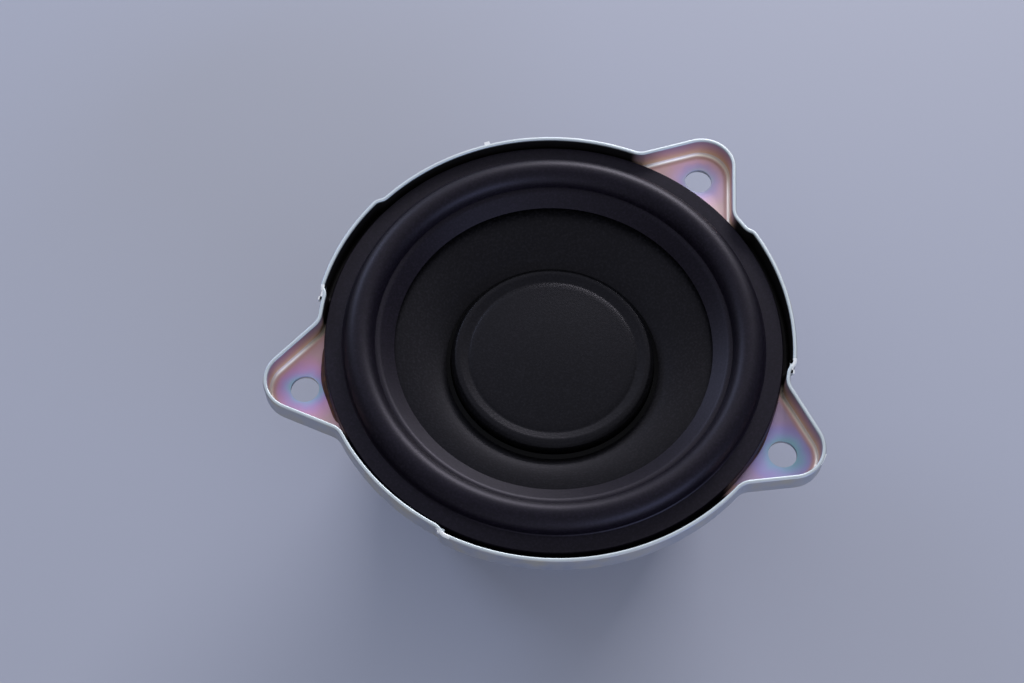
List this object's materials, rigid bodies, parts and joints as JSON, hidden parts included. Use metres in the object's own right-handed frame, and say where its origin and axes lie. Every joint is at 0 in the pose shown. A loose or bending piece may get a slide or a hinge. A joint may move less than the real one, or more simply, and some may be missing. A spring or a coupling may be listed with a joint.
{
  "type": "car speaker",
  "caption": "Round car loudspeaker: eared steel basket, rubber surround, paper cone and dust cap, sprung on a spider in a ring magnet's gap.",
  "frame": {"origin": "centre of the magnet system's back face", "axes": "+Z out of the front along the coil's axis; the single ear lies on -X, the pair of ears either side of +X"},
  "size_m": [0.1092, 0.0985, 0.0463],
  "materials": {
    "zinc_steel": "bright zinc plate with an iridescent pale chromate film",
    "plated_iron": "turned soft iron, zinc plated, satin",
    "ferrite": "ground sintered ferrite, dull dark grey",
    "moulded_rubber": "moulded butyl rubber, satin blue black",
    "cone_paper": "dyed pressed pulp, matte",
    "cap_paper": "dyed pressed pulp with a thin lacquer, satin",
    "amber_glue": "dried contact adhesive, amber and glossy",
    "black_glue": "dried black cement, glossy",
    "spider_cloth": "resin treated cotton weave, matte",
    "former_film": "polyimide film, translucent amber",
    "coil_wire": "enamelled copper wire",
    "kraft_paper": "kraft paper wrap, matte",
    "tinsel_braid": "braided copper tinsel over cotton",
    "eyelet_brass": "pressed brass",
    "solder": "tin solder, bright and slightly rippled",
    "board_phenolic": "punched phenolic paper board, brown",
    "tinned_brass": "stamped brass, tin plated"
  },
  "bodies": {
    "frame": {"basket": "zinc_steel", "basket_rivets": "plated_iron", "back_plate": "plated_iron", "pole_piece": "plated_iron", "magnet": "ferrite", "magnet_glue_back": "black_glue", "magnet_glue_front": "black_glue", "top_plate": "plated_iron", "spider": "spider_cloth", "surround": "moulded_rubber", "rim_adhesive": "amber_glue", "tinsel_lead_positive": "tinsel_braid", "tinsel_lead_negative": "tinsel_braid", "terminal_board": "board_phenolic", "terminal_tab_positive": "tinned_brass", "terminal_tab_negative": "tinned_brass", "tab_rivets": "tinned_brass", "board_rivet": "plated_iron", "terminal_solder": "solder"},
    "diaphragm": {"cone": "cone_paper", "dust_cap": "cap_paper", "cap_glue": "black_glue", "coil_former": "former_film", "coil_winding": "coil_wire", "coil_collar": "kraft_paper", "neck_glue": "amber_glue", "coil_wires": "coil_wire", "lead_eyelets": "eyelet_brass", "lead_solder": "solder"}
  },
  "joints": [
    {"name": "cone_travel", "type": "slide", "parent": "frame", "child": "diaphragm", "axis": [0, 0, 1], "range_m": [-0.003, 0.003], "stiffness_N_per_m": 2000, "deforming": ["surround", "spider", "tinsel_lead_positive", "tinsel_lead_negative"]}
  ]
}
